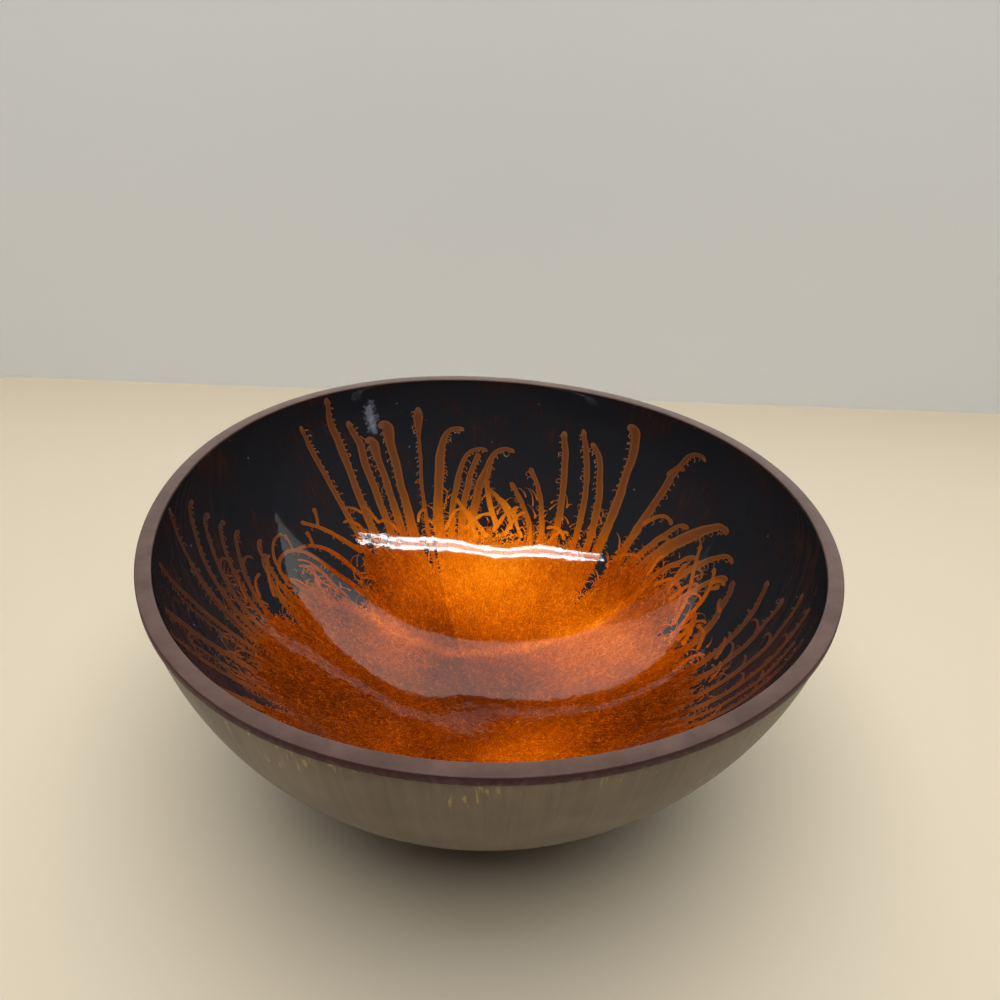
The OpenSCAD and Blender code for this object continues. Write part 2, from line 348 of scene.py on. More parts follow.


# Orange lacquer, blown while wet: thick and bright where it pooled, with painted light that makes the
# mat brighter on the far side, thin and brown along the strands, with a fine curly grain and pale
# tan tips
def orangeLacquer():
    material, tree, shader = newMaterial("orange lacquer, blown")
    coordinates = addNode(tree, "TexCoord")
    # glow: the mat's brightness, from pooled lacquer and from painted light on the far side
    glow, tip, across, thin, film = [addNode(tree, "Attribute", attribute_name=name)
                                     for name in ("glow", "tip", "across", "thin", "film")]
    # Curly fibres that run outward, over cloudy patches
    plan = meridianVector(tree, coordinates, orange["radius"], orange["grainWide"], orange["grainLong"])
    grain = addNode(tree, "TexNoise", {"Vector": (plan, "Vector"), "Scale": 1.0, "Detail": 2.0,
                                       "Roughness": 0.6, "Distortion": 1.8})
    cloud = addNode(tree, "TexNoise", {"Vector": (coordinates, "Object"), "Scale": 1 / (orange["cloud"] * mm),
                                       "Detail": 3.0, "Roughness": 0.6})
    grainShift = addNode(tree, "MapRange", {"Value": (grain, "Fac"), "From Min": 0.35, "From Max": 0.65,
                                            "To Min": -0.17, "To Max": 0.17})
    cloudShift = addNode(tree, "MapRange", {"Value": (cloud, "Fac"), "From Min": 0.3, "From Max": 0.7,
                                            "To Min": -0.06, "To Max": 0.06})
    shift = addNode(tree, "Math", {0: (grainShift, "Result"), 1: (cloudShift, "Result")})
    level = addNode(tree, "Math", {0: (glow, "Fac"), 1: (shift, "Value")})
    scaled = addNode(tree, "MapRange", {"Value": (level, "Value"), "From Max": 1.25})
    body = addNode(tree, "ValToRGB", {"Fac": (scaled, "Result")}, orange["stops"])
    # Along a strand the colour goes from orange to red-brown, and a barb pales at its very tip
    strandColour = addNode(tree, "ValToRGB", {"Fac": (tip, "Fac")}, orange["strandStops"])
    strandShare = addNode(tree, "MapRange", {"Value": (tip, "Fac"), "From Min": 0.02, "From Max": 0.35})
    colour = addNode(tree, "Mix", {"Factor": (strandShare, "Result"), 6: (body, "Color"),
                                   7: (strandColour, "Color")}, data_type="RGBA")
    # A strand is paler near its edges: a tan edge line in the lacquer with a painted highlight along it
    edge = addNode(tree, "ValToRGB", {"Fac": (across, "Fac")}, orange["edgeLineAndHighlightStops"])
    edgeLineAndHighlightShare = addNode(tree, "Math", {0: (edge, "Color"), 1: (strandShare, "Result")}, operation="MULTIPLY")
    edgeLinedAndHighlighted = addNode(tree, "Mix", {"Factor": (edgeLineAndHighlightShare, "Value"), 6: (colour, 2), 7: fromHex(orange["edge"])},
                    data_type="RGBA")
    # Where the lacquer is thin the black shows through as a red-purple brown
    thinShare = addNode(tree, "Math", {0: (thin, "Fac"), 1: (strandShare, "Result")}, operation="MULTIPLY")
    dimmed = addNode(tree, "Mix", {"Factor": (thinShare, "Value"), 6: (edgeLinedAndHighlighted, 2), 7: fromHex(orange["thin"])},
                     data_type="RGBA")
    # At the mat's edge the lacquer is a film torn into holes over the black
    torn = meridianVector(tree, coordinates, orange["radius"], orange["holeWide"], orange["holeLong"])
    tears = addNode(tree, "TexNoise", {"Vector": (torn, "Vector"), "Scale": 1.0, "Detail": 2.0,
                                       "Roughness": 0.55, "Distortion": 0.8})
    reachShift = addNode(tree, "MapRange", {"Value": (film, "Fac"), "To Min": -0.2, "To Max": 0.14})
    opened = addNode(tree, "Math", {0: (tears, "Fac"), 1: (reachShift, "Result")})
    holeShare = addNode(tree, "MapRange", {"Value": (opened, "Value"), "From Min": 0.54, "From Max": 0.585})
    holed = addNode(tree, "Mix", {"Factor": (holeShare, "Result"), 6: (dimmed, 2), 7: fromHex(orange["hole"])},
                    data_type="RGBA")
    setInputs(tree, shader, {"Base Color": (holed, 2)})
    addGloss(tree, shader, coordinates)
    return material


rimLook = {
    "stops": [(0.3, "#402D27"), (0.5, "#4C3730"), (0.7, "#564039")], "brush": 1.1, "blotch": 7,
    # line: the dark red line over the outer corner, partly painted shade
    "line": "#3E1C20", "cornerLineAndShadeStops": [(0.0, 0.0), (0.3, 0.0), (0.48, 0.85), (0.7, 0.85), (0.85, 0.0)],
    # worn: the pale lap edge, partly a painted highlight
    "worn": "#85706A", "lapEdgeAndHighlightStops": [(0.0, 0.0), (0.86, 0.0), (1.0, 0.5)],
}


# Purple-brown lacquer on the rim, brushed and left satin: blurry brush marks along the rim, a dark
# red line where it thins over the outer corner, partly painted shade, and a pale ragged edge where
# the brush lapped over, partly a painted highlight where the clear lacquer catches the light
def rimLacquer():
    material, tree, shader = newMaterial("purple-brown lacquer, satin")
    coordinates = addNode(tree, "TexCoord")
    across = addNode(tree, "Attribute", attribute_name="across")
    grain = addNode(tree, "TexNoise", {"Vector": (coordinates, "Object"), "Scale": 1 / (rimLook["brush"] * mm),
                                       "Detail": 4.0, "Roughness": 0.65})
    blotches = addNode(tree, "TexNoise", {"Vector": (coordinates, "Object"),
                                          "Scale": 1 / (rimLook["blotch"] * mm), "Detail": 3.0,
                                          "Roughness": 0.6})
    tint = addNode(tree, "ValToRGB", {"Fac": (blotches, "Fac")}, rimLook["stops"])
    # Across the section: 0 on the top, 1 at the outer corner, 2 at the lap's lower edge
    wobble = addNode(tree, "MapRange", {"Value": (grain, "Fac"), "From Min": 0.3, "From Max": 0.7,
                                        "To Min": -0.25, "To Max": 0.25})
    ragged = addNode(tree, "Math", {0: (across, "Fac"), 1: (wobble, "Result")})
    section = addNode(tree, "MapRange", {"Value": (ragged, "Value"), "From Max": 2.0})
    # The dark corner line: the lacquer thinning over the corner, with painted shade there
    cornerLineAndShadeShare = addNode(tree, "ValToRGB", {"Fac": (section, "Result")}, rimLook["cornerLineAndShadeStops"])
    cornerLinedAndShaded = addNode(tree, "Mix", {"Factor": (cornerLineAndShadeShare, "Color"), 6: (tint, "Color"),
                                  7: fromHex(rimLook["line"])}, data_type="RGBA")
    # The pale lap edge: the ragged lap, with a painted highlight where the clear lacquer catches the light
    wornShare = addNode(tree, "ValToRGB", {"Fac": (section, "Result")}, rimLook["lapEdgeAndHighlightStops"])
    worn = addNode(tree, "Mix", {"Factor": (wornShare, "Color"), 6: (cornerLinedAndShaded, 2), 7: fromHex(rimLook["worn"])},
                   data_type="RGBA")
    bump = addNode(tree, "Bump", {"Height": (grain, "Fac"), "Strength": 0.5, "Distance": 0.03 * mm})
    setInputs(tree, shader, {"Base Color": (worn, 2), "Roughness": 0.5, "Specular IOR Level": 0.14,
                             "Normal": (bump, "Normal")})
    return material


coconut = {
    "stops": [(0.25, "#453524"), (0.45, "#5D4B35"), (0.6, "#6A5840"), (0.8, "#7B6950")], "patch": 22,
    "grainWide": 1.2, "grainLong": 30, "fibre": "#A88E4E", "fibreWide": 1.5, "fibreLong": 9, "fibrePatch": 17,
}


# Coconut shell, sanded and oiled: olive brown, paler and darker in streaks from the base to the rim,
# with painted shade that makes it darker low down and a little lighter near the rim, and with broken
# tan fibres left in the pores
def coconutShell():
    material, tree, shader = newMaterial("coconut shell, sanded and oiled")
    coordinates = addNode(tree, "TexCoord")
    share = addNode(tree, "Attribute", attribute_name="share")
    patches = addNode(tree, "TexNoise", {"Vector": (coordinates, "Object"),
                                         "Scale": 1 / (coconut["patch"] * mm), "Detail": 3.0,
                                         "Roughness": 0.6})
    grained = meridianVector(tree, coordinates, bowl["width"] / 2, coconut["grainWide"], coconut["grainLong"])
    grain = addNode(tree, "TexNoise", {"Vector": (grained, "Vector"), "Scale": 1.0, "Detail": 4.0,
                                       "Roughness": 0.6, "Distortion": 0.3})
    # Painted shade: darker towards the base and a little lighter towards the rim
    low = addNode(tree, "MapRange", {"Value": (share, "Fac"), "From Min": 0.35, "From Max": 0.95,
                                     "To Min": -0.10, "To Max": 0.06})
    grainShift = addNode(tree, "MapRange", {"Value": (grain, "Fac"), "From Min": 0.3, "From Max": 0.7,
                                            "To Min": -0.09, "To Max": 0.09})
    shift = addNode(tree, "Math", {0: (low, "Result"), 1: (grainShift, "Result")})
    level = addNode(tree, "Math", {0: (patches, "Fac"), 1: (shift, "Value")})
    tint = addNode(tree, "ValToRGB", {"Fac": (level, "Value")}, coconut["stops"])
    # Tan fibres, in a few places only
    fibred = meridianVector(tree, coordinates, bowl["width"] / 2, coconut["fibreWide"], coconut["fibreLong"])
    fibres = addNode(tree, "TexNoise", {"Vector": (fibred, "Vector"), "Scale": 1.0, "Detail": 3.0,
                                        "Roughness": 0.6, "Distortion": 1.2})
    places = addNode(tree, "TexNoise", {"Vector": (coordinates, "Object"),
                                        "Scale": 1 / (coconut["fibrePatch"] * mm), "Detail": 1.0})
    placed = addNode(tree, "MapRange", {"Value": (places, "Fac"), "From Min": 0.48, "From Max": 0.64,
                                        "To Min": 0.0, "To Max": 0.14})
    strong = addNode(tree, "Math", {0: (fibres, "Fac"), 1: (placed, "Result")})
    fibreShare = addNode(tree, "MapRange", {"Value": (strong, "Value"), "From Min": 0.70, "From Max": 0.78,
                                            "To Max": 0.75})
    streaked = addNode(tree, "Mix", {"Factor": (fibreShare, "Result"), 6: (tint, "Color"),
                                     7: fromHex(coconut["fibre"])}, data_type="RGBA")
    bump = addNode(tree, "Bump", {"Height": (grain, "Fac"), "Strength": 0.5, "Distance": 0.08 * mm})
    setInputs(tree, shader, {"Base Color": (streaked, 2), "Roughness": 0.42, "Normal": (bump, "Normal")})
    return material


print("materials")
blackLacquerMaterial = blackLacquer()
orangeLacquerMaterial = orangeLacquer()
rimLacquerMaterial = rimLacquer()
coconutShellMaterial = coconutShell()

shell = {"around": 288, "outsideRows": 60, "insideRows": 40, "baseRings": 6}


# Rows run out over the base, up the outside and down the inside. Shares are for the grain
def makeShell():
    turns = allRound(shell["around"])
    rows, shares = [], []
    for ring in range(1, shell["baseRings"]):
        part = ring / shell["baseRings"]
        rows.append(outsidePoint(turns, baseDip) * [part, part, 0])
        shares.append(part * (1 - baseDip / 90))
    for i in range(shell["outsideRows"], -1, -1):
        rows.append(outsidePoint(turns, baseDip * i / shell["outsideRows"]))
        shares.append(1 - baseDip * i / shell["outsideRows"] / 90)
    for i in range(shell["insideRows"]):
        rows.append(insidePoint(turns, 90 * i / shell["insideRows"], 0))
        shares.append(1 - i / shell["insideRows"])
    sheet = Sheet()
    sheet.add(np.concatenate(rows + [np.array([[0, 0, 0]]), insidePoint(np.array([0]), 90, 0)]),
              poleFaces(len(rows), shell["around"]),
              share=np.append(np.repeat(shares, shell["around"]), [0, 0]))
    return sheet.make("shell", coconutShellMaterial)


print("shell")
shellPiece = makeShell()
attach(shellPiece, "root")
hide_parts("coconut_shell")

lining = {"around": 360, "rows": 90, "normalStep": 0.002}


# Rows run up the back and down the face. Normals are taken a step lower, as there is none past the rim
def makeLining():
    turns = allRound(lining["around"])
    rows, shares, normals = [], [], []
    down = list(range(lining["rows"]))
    for inward, order in ((bowl["coatGap"], down[::-1]), (liningFace, down)):
        for i in order:
            dip = 90 * i / lining["rows"]
            rows.append(insidePoint(turns, dip, inward))
            shares.append(1 - dip / 90)
            lower = np.full(len(turns), 1 - dip / 90 - lining["normalStep"])
            normal = faceFrame(turns, lower).normal
            normals.append(glossNormal(turns, lower, normal) if inward == liningFace else -normal)
    poles = [insidePoint(np.array([0]), 90, inward) for inward in (bowl["coatGap"], liningFace)]
    sheet = Sheet()
    sheet.add(np.concatenate(rows + poles), poleFaces(len(rows), lining["around"]),
              np.concatenate(normals + [np.array([[0, 0, -1], [0, 0, 1]])]),
              share=np.append(np.repeat(shares, lining["around"]), [0, 0]))
    return sheet.make("lining", blackLacquerMaterial)


print("lining")
liningPiece = makeLining()
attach(liningPiece, "root")
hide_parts("black_lining")

rim = {"around": 360, "ease": 0.25, "easeSteps": 4, "lapEdge": [(0.05, 0.12), (0, 0.35)]}


def makeRim():
    inner = -bowl["rimThick"] - liningFace
    outer = bowl["coatGap"] + bowl["rimCoatThick"]
    ease, top, lap = rim["ease"], bowl["height"], shellHigh - bowl["rimLap"]

    def easedCorner(middle, first):
        turned = [first + 90 * i / rim["easeSteps"] for i in range(rim["easeSteps"] + 1)]
        return [(middle + ease * cosD(angle), top - ease + ease * sinD(angle)) for angle in turned]

    # The section runs up the lap, over the rim and back along the cut shell. Across is its colour's place
    section = [(bowl["coatGap"], lap), (outer - ease, lap)]
    section += [(outer - inward, lap + up) for inward, up in rim["lapEdge"]]
    section += easedCorner(outer - ease, 0) + [((inner + outer) / 2, top)] + easedCorner(inner + ease, 90)
    section += [(inner, shellHigh + bowl["coatGap"]), (bowl["coatGap"], shellHigh + bowl["coatGap"])]
    across = [2, 2, 2, 1.7, 1.4, 1.2, 1.0, 0.7, 0.4]
    across += [0] * (len(section) - len(across))
    turns = allRound(rim["around"])
    rows = [place(turns, rimRadius(turns) + out, height) for out, height in section]
    sheet = Sheet()
    sheet.add(np.concatenate(rows), ringFaces(len(rows), rim["around"], closed=True),
              across=np.repeat(across, rim["around"]))
    return sheet.make("rim", rimLacquerMaterial)


print("rim")
rimPiece = makeRim()
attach(rimPiece, "root")
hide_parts("rim_lacquer")

# Where the mat is brighter, partly where the lacquer pooled thick and partly painted light, brightest
# on the far side. In shares of the way from the middle to the rim: each spot's place, how wide it
# is, and how much brighter it is
glowBase = 0.13
poolAndPaintedLightSpots = [
    (0.03, 0.40, 0.13, 0.70), (-0.18, 0.33, 0.09, 0.37), (0.25, 0.24, 0.11, 0.27), (0.18, 0.10, 0.08, 0.14),
    (-0.20, 0.13, 0.07, 0.26), (-0.42, 0.06, 0.09, 0.17), (0.02, 0.20, 0.07, 0.10), (0.05, -0.20, 0.07, 0.26),
    (0.08, -0.10, 0.05, 0.10), (-0.15, -0.12, 0.10, 0.07), (0.40, 0.06, 0.08, 0.22), (0.30, 0.13, 0.09, 0.22),
    (0.15, -0.14, 0.08, 0.22), (-0.03, 0.08, 0.10, -0.06), (-0.17, -0.07, 0.06, 0.07),
]
# Pale crests where one plume's mat meets the next
crests = [(-0.46, 0.18), (-0.30, 0.20), (-0.07, 0.13), (0.09, 0.16), (0.27, 0.20), (0.42, 0.27)]
crestWide, crestGlow = 0.014, 0.16


# The orange's brightness: pooled lacquer and painted light together, with the pale crests
def poolAndPaintedLightAt(direction, share):
    x, y = share * cosD(direction), share * sinD(direction)
    glow = np.full(np.shape(x), glowBase)
    for spotX, spotY, wide, amount in poolAndPaintedLightSpots:
        glow = glow + amount * np.exp(-((x - spotX) ** 2 + (y - spotY) ** 2) / (2 * wide * wide))
    for (x0, y0), (x1, y1) in zip(crests, crests[1:]):
        way = np.clip(((x - x0) * (x1 - x0) + (y - y0) * (y1 - y0)) / ((x1 - x0) ** 2 + (y1 - y0) ** 2), 0, 1)
        away = np.hypot(x - x0 - way * (x1 - x0), y - y0 - way * (y1 - y0))
        glow = glow + crestGlow * np.exp(-(away / crestWide) ** 2)
    return glow


# How high each layer stands on the face, and how far below its glow the mat lies
coat = {"under": 0.004, "poolThick": 0.045, "matThick": 0.05, "strandThick": 0.09, "barbThick": 0.07,
        "matDim": 0.05}


# A point of the face beside (direction, share), some mm to the left of a line with this heading
def beside(direction, share, heading, left, perDegree, perShare):
    return (direction + left * cosD(heading) / perDegree, share - left * sinD(heading) / perShare)


# Strips along the face. Rows of direction and share run along each strip, and left and right
# are how far its edges stand from the line, in mm
def addStrips(sheet, direction, share, left, right, thick, tip, plume, flatTop=True, glow=0.0):
    here = faceFrame(direction, share)
    heading = headingOf(np.gradient(direction, axis=0), np.gradient(share, axis=0), here)
    tops = [(left, 1), ((left - right) / 2, 0), (-right, 1)] if flatTop else [((left - right) / 2, 0)]
    corners = [(offset, thick, edge) for offset, edge in tops]
    corners += [(-right, coat["under"], 1), (left, coat["under"], 1)]
    rows, count = direction.shape
    width = len(corners)
    points = np.zeros((rows, count, width, 3))
    normals = np.zeros((rows, count, width, 3))
    shares = np.zeros((rows, count, width))
    for c, (offset, high, _) in enumerate(corners):
        turnHere, shareHere = beside(direction, share, heading, offset, here.perDegree, here.perShare)
        cornerFrame = faceFrame(turnHere, shareHere)
        high = np.broadcast_to(high, (rows, count))[..., None]
        points[:, :, c] = cornerFrame.point + cornerFrame.normal * high
        normals[:, :, c] = glossNormal(turnHere, shareHere, cornerFrame.normal)
        shares[:, :, c] = shareHere
    across = np.broadcast_to(np.array([edge for _, _, edge in corners]), (rows, count, width)).ravel()
    tipHere = np.repeat(np.broadcast_to(tip, (rows, count))[:, :, None], width, 2).ravel()
    glowHere = np.repeat((plumeGlow(plume, direction, share) + glow)[:, :, None], width, 2).ravel()
    index = np.arange(rows * count * width).reshape(rows, count, width)
    faces = []
    for c in range(width):
        d = (c + 1) % width
        quads = np.stack([index[:-1, :, c], index[:-1, :, d], index[1:, :, d], index[1:, :, c]], -1)
        faces += quads.reshape(-1, 4).tolist()
    faces += index[0][:, ::-1].tolist()
    faces += index[-1].tolist()
    sheet.add(points.reshape(-1, 3), faces, normals.reshape(-1, 3), across=across, tip=tipHere, glow=glowHere,
              film=0.0, thin=plume["thin"], share=shares.ravel())


# Each plume: where it starts and ends round the bowl, how far its mat goes, how much brighter it is,
# how thin its lacquer is (1 lets the black through), how much its strands wave, how many loose curls
# there are for each strand, how long its barbs are, how deep the mat falls back at its two seams, and
# how far past the mat the curls go. A dent is where the mat falls back too, how wide, and how deep.
# A strand: where it leaves the mat, its reach, its lean at the tip, its hook there (left is +), the
# hook's radius, its width, how much wider its head is, and how many branches it has.
# An arc: its direction and share at the start, its heading there, how far it bends (left is +), its
# length, its width, and how long the spur on its back is
plumes = {
    "plume_right": {
        "span": (-22, 15), "mat": 0.46, "bright": 0.0, "thin": 0.55, "wave": 0.4, "curls": 10, "barbs": 0.8,
        "notches": (0.04, 0.05), "lace": 0.11,
        "strands": [(-26, 0.80, 4, 25, 3, 1.1, 0.8, 1), (-22, 0.86, 5, 30, 3, 1.3, 0.8, 2),
                    (-17.5, 0.84, 5, 40, 4, 1.3, 0.8, 2), (-11, 0.77, 4, 40, 4, 1.4, 0.8, 2),
                    (-6, 0.75, 6, 35, 5, 1.5, 0.8, 2), (3, 0.67, 6, 45, 4, 1.8, 0.7, 0)],
        "arcs": [(-7, 0.54, 45, 60, 6, 0.9, 0), (6, 0.59, 80, -60, 4, 0.9, 0), (0, 0.50, 40, 70, 8, 1.0, 0),
                 (8, 0.46, 10, 80, 9, 1.0, 0), (-14, 0.52, 35, 60, 6, 0.8, 0), (-2, 0.44, 20, -60, 8, 1.0, 0),
                 (11, 0.48, -20, -90, 8, 0.9, 0), (5, 0.47, 35, 60, 9, 1.0, 0)],
    },
    "plume_back_right": {
        "span": (15, 50), "mat": 0.50, "bright": 0.03, "thin": 0.15, "wave": 0.3, "curls": 16, "barbs": 1.0,
        "notches": (0.04, 0.15), "lace": 0.1,
        "strands": [(20, 0.66, -5, -80, 2.6, 1.3, 0.6, 0), (26.5, 0.71, -8, -90, 3, 1.7, 0.45, 1),
                    (32.5, 0.64, -6, -80, 2.4, 1.3, 0.6, 0), (37, 0.76, -12, -85, 3.2, 3.2, 0.28, 1),
                    (41, 0.69, -6, -85, 2.8, 1.5, 0.6, 1), (45.5, 0.89, -5, -110, 3.8, 2.0, 0.35, 0)],
        "arcs": [(43.6, 0.78, -35, -130, 6, 1.1, 0), (44.2, 0.62, -35, -75, 10, 1.2, 0),
                 (14, 0.47, 32, -20, 21, 1.2, 0), (10.5, 0.45, 10, 45, 20, 1.4, 3),
                 (15.7, 0.61, -35, -80, 5, 0.9, 0), (22, 0.50, -10, -90, 9, 1.0, 0),
                 (30, 0.50, -20, -95, 8, 0.9, 0), (34, 0.51, 5, -90, 7, 0.8, 0), (24, 0.51, 30, -50, 9, 1.0, 0),
                 (17, 0.49, 25, 60, 9, 1.0, 0), (20, 0.53, -35, -80, 7, 0.8, 0),
                 (47, 0.50, -30, -70, 8, 0.9, 0)],
    },
    "plume_back": {
        "span": (50, 110), "mat": 0.47, "bright": 0.05, "thin": 0.0, "wave": 0.4, "curls": 20, "barbs": 1.0,
        "notches": (0.15, 0.13), "lace": 0.13,
        "strands": [(53, 0.88, 1, 130, 1.8, 2.3, 1.2, 0), (57, 0.81, 4.5, 50, 7, 1.8, 0.6, 0),
                    (61.5, 0.84, 5.5, 15, 3, 1.6, 0.6, 0), (68, 0.82, 4, 15, 3, 1.8, 0.7, 0),
                    (72.5, 0.69, 6.5, 25, 3, 1.3, 0.8, 0), (76, 0.64, 8, 20, 3, 1.2, 0.8, 0),
                    (96, 0.75, -6, -105, 4.2, 2.2, 0.32, 0), (99.5, 0.72, -5, -30, 4, 1.8, 0.7, 0),
                    (102.5, 0.745, -5, -100, 4.8, 1.5, 0.45, 0), (106.5, 0.80, -4, -110, 4.0, 2.5, 0.3, 0)],
        "arcs": [(87.5, 0.50, 25, -15, 18, 1.5, 0), (81.5, 0.53, 42, 20, 12, 1.4, 0),
                 (94.5, 0.46, 18, 35, 13, 1.3, 0), (91, 0.47, 36, 22, 9, 1.2, 0),
                 (79, 0.48, 30, -60, 9, 1.0, 0), (85, 0.48, -20, -90, 9, 1.0, 0),
                 (70, 0.48, -25, -80, 7, 0.9, 0), (104.5, 0.49, -25, -90, 9, 0.9, 0),
                 (65, 0.50, 25, 80, 7, 0.9, 0), (98, 0.49, -30, -80, 9, 1.0, 0), (83, 0.50, 15, 60, 10, 1.1, 0),
                 (89, 0.49, -35, -50, 10, 1.1, 0)],
    },
    "plume_back_left": {
        "span": (110, 135), "mat": 0.46, "bright": -0.08, "thin": 0.1, "wave": 0.5, "curls": 12, "barbs": 0.9,
        "notches": (0.13, 0.02), "lace": 0.08,
        "strands": [(110, 0.87, -2, 60, 1.5, 0.9, 2.8, 0), (114.5, 0.82, 1, 150, 1.2, 2.2, 1.4, 0),
                    (117.5, 0.78, 2.5, 140, 1.1, 1.9, 1.4, 0), (121.5, 0.86, 3, -25, 4, 2.0, 0.5, 0),
                    (126.5, 0.97, 3, -20, 5, 1.9, 0.5, 0), (131.5, 0.89, 5, -25, 4, 1.4, 0.5, 0)],
        "arcs": [(112.5, 0.52, -15, -110, 5, 0.8, 0), (124, 0.54, 25, 60, 7, 0.9, 0),
                 (129, 0.52, 25, 70, 8, 0.9, 0), (128, 0.58, 30, 80, 6, 0.8, 0),
                 (132.5, 0.48, 36, 10, 19, 1.3, 5), (119, 0.50, 20, 90, 7, 0.9, 0)],
    },
    "plume_left_back": {
        "span": (135, 171), "mat": 0.47, "bright": -0.02, "thin": 0.35, "wave": 0.5, "curls": 22, "barbs": 0.75,
        "notches": (0.08, 0.03), "lace": 0.08, "dents": [(144, 6, 0.13)],
        "strands": [(158, 0.57, 3, -30, 3, 0.8, 0.8, 0), (164.5, 0.66, -3, -110, 1.8, 1.0, 0.8, 0),
                    (168.5, 0.63, -5, -110, 1.8, 1.0, 0.8, 0)],
        "arcs": [(140.5, 0.38, 14, 115, 31, 1.2, 4.5), (137, 0.42, 14, 85, 22, 1.3, 4),
                 (146.5, 0.40, 12, 60, 17, 0.7, 0), (149, 0.42, -2, 60, 12, 0.7, 0),
                 (168.5, 0.54, -35, -45, 11, 0.8, 0), (161.5, 0.52, -5, -120, 16, 0.9, 0),
                 (147, 0.42, 40, -60, 11, 0.6, 0), (153, 0.46, -15, 80, 9, 0.6, 0),
                 (155.5, 0.47, 15, 60, 9, 0.7, 0), (163, 0.47, -5, 60, 9, 0.7, 0),
                 (166, 0.49, 5, -90, 8, 0.7, 0)],
    },
    "plume_left": {
        "span": (171, 189), "mat": 0.51, "bright": -0.02, "thin": 0.6, "wave": 0.3, "curls": 24, "barbs": 0.85,
        "notches": (0.03, 0.03), "lace": 0.16,
        "strands": [(175.5, 0.73, -9, -100, 1.6, 1.2, 0.8, 1), (178, 0.78, -9, -120, 1.6, 1.1, 0.8, 1),
                    (181.5, 0.83, -9, -140, 1.4, 1.2, 0.8, 1), (184, 0.90, -9, -120, 1.5, 1.3, 0.8, 0),
                    (186.5, 0.97, -4, -20, 2, 1.1, 0.8, 0), (188, 0.80, -3, 0, 2, 0.5, 0.9, 0)],
        "arcs": [(172.5, 0.57, -20, -70, 7, 0.8, 0), (177, 0.60, -25, -70, 6, 0.7, 0)],
    },
    "plume_left_front": {
        "span": (189, 208), "mat": 0.52, "bright": -0.03, "thin": 0.65, "wave": 0.3, "curls": 18, "barbs": 0.85,
        "notches": (0.03, 0.06), "lace": 0.13,
        "strands": [(190, 0.92, 6, 35, 2, 1.2, 0.8, 0), (193, 0.80, 3, 0, 2, 0.5, 0.9, 0),
                    (198, 0.87, 7, 45, 2, 1.4, 0.9, 1), (201.5, 0.76, 4, 0, 2, 0.6, 0.9, 0),
                    (205, 0.86, 6, -50, 2, 1.2, 0.8, 1)],
        "arcs": [(196, 0.58, 20, 60, 6, 0.7, 0), (203, 0.57, 15, -60, 6, 0.7, 0)],
    },
    "plume_front": {
        "span": (208, 268), "mat": 0.52, "bright": 0.0, "thin": 0.5, "wave": 0.5, "curls": 12, "barbs": 0.9,
        "notches": (0.06, 0.1), "lace": 0.08,
        "strands": [(211, 0.80, 5, 80, 2, 1.5, 0.8, 1), (218, 0.88, 4, 120, 2, 1.7, 1.1, 0),
                    (225, 0.76, 3, 100, 2, 1.6, 0.7, 1), (231, 0.83, 2, 80, 2.5, 1.8, 0.6, 0),
                    (238, 0.90, 0, 130, 2, 1.5, 1.1, 1), (245, 0.78, -2, -100, 2, 1.6, 0.7, 0),
                    (251, 0.72, -4, -80, 3, 1.7, 0.6, 1), (258, 0.84, -5, -120, 2, 1.6, 0.9, 0),
                    (265, 0.80, -7, -80, 3, 1.5, 0.6, 1)],
        "arcs": [(214, 0.55, 20, 80, 9, 1.0, 0), (228, 0.54, 15, 70, 11, 1.1, 0),
                 (241, 0.55, -20, -80, 9, 1.0, 0), (254, 0.54, -25, -70, 12, 1.1, 0)],
    },
    "plume_front_right": {
        "span": (268, 338), "mat": 0.47, "bright": 0.02, "thin": 0.6, "wave": 0.5, "curls": 12, "barbs": 0.9,
        "notches": (0.1, 0.04), "lace": 0.08,
        "strands": [(271, 0.78, 5, 80, 2, 1.5, 0.7, 0), (278, 0.86, 4, 120, 2, 1.7, 1.1, 1),
                    (285, 0.92, 3, 90, 3, 1.6, 0.6, 0), (292, 0.80, 2, 130, 2, 1.8, 1.0, 1),
                    (299, 0.74, 1, 80, 2, 1.5, 0.7, 0), (306, 0.88, 0, 90, 3, 1.6, 0.6, 1),
                    (313, 0.82, -1, 100, 2, 1.5, 0.8, 1), (320, 0.76, -2, 70, 3, 1.4, 0.6, 0),
                    (326, 0.88, 2, 50, 3, 1.4, 0.7, 1), (331, 0.84, 4, 40, 3, 1.3, 0.7, 1)],
        "arcs": [(275, 0.50, 20, 80, 9, 1.0, 0), (289, 0.49, 15, 70, 11, 1.1, 0),
                 (303, 0.50, 20, 80, 9, 1.0, 0), (317, 0.49, 25, 70, 12, 1.1, 0),
                 (329, 0.50, 25, 60, 9, 0.9, 0)],
    },
}


# A smooth random line through count random points, between -1 and 1
def smoothLine(draw, rows, columns, count):
    knots = draw.random((count, columns)) * 2 - 1
    at = np.linspace(0, count - 1, rows)
    low = np.minimum(at.astype(int), count - 2)
    part = (1 - np.cos(np.pi * (at - low))) / 2
    return knots[low] * (1 - part)[:, None] + knots[low + 1] * part[:, None]


# From 0 to 1 along each line, as a column
def wayAlong(rows):
    return np.linspace(0, 1, rows)[:, None]


# Width factors: a round end that is full from part 1 on, and a blunt end at way 1
def roundEnd(part, least=0.02):
    return np.sqrt(np.clip(1 - (1 - np.clip(part, 0, 1)) ** 2, least, 1))


def bluntEnd(way, power, least=0.04):
    return np.sqrt(np.clip(1 - way ** power, least, 1))


# Heights in a few steps of some mm, so that neighbours that cross don't share a face
def layered(high, layers, count):
    step, steps = layers
    return high + step * (np.arange(count) % steps)


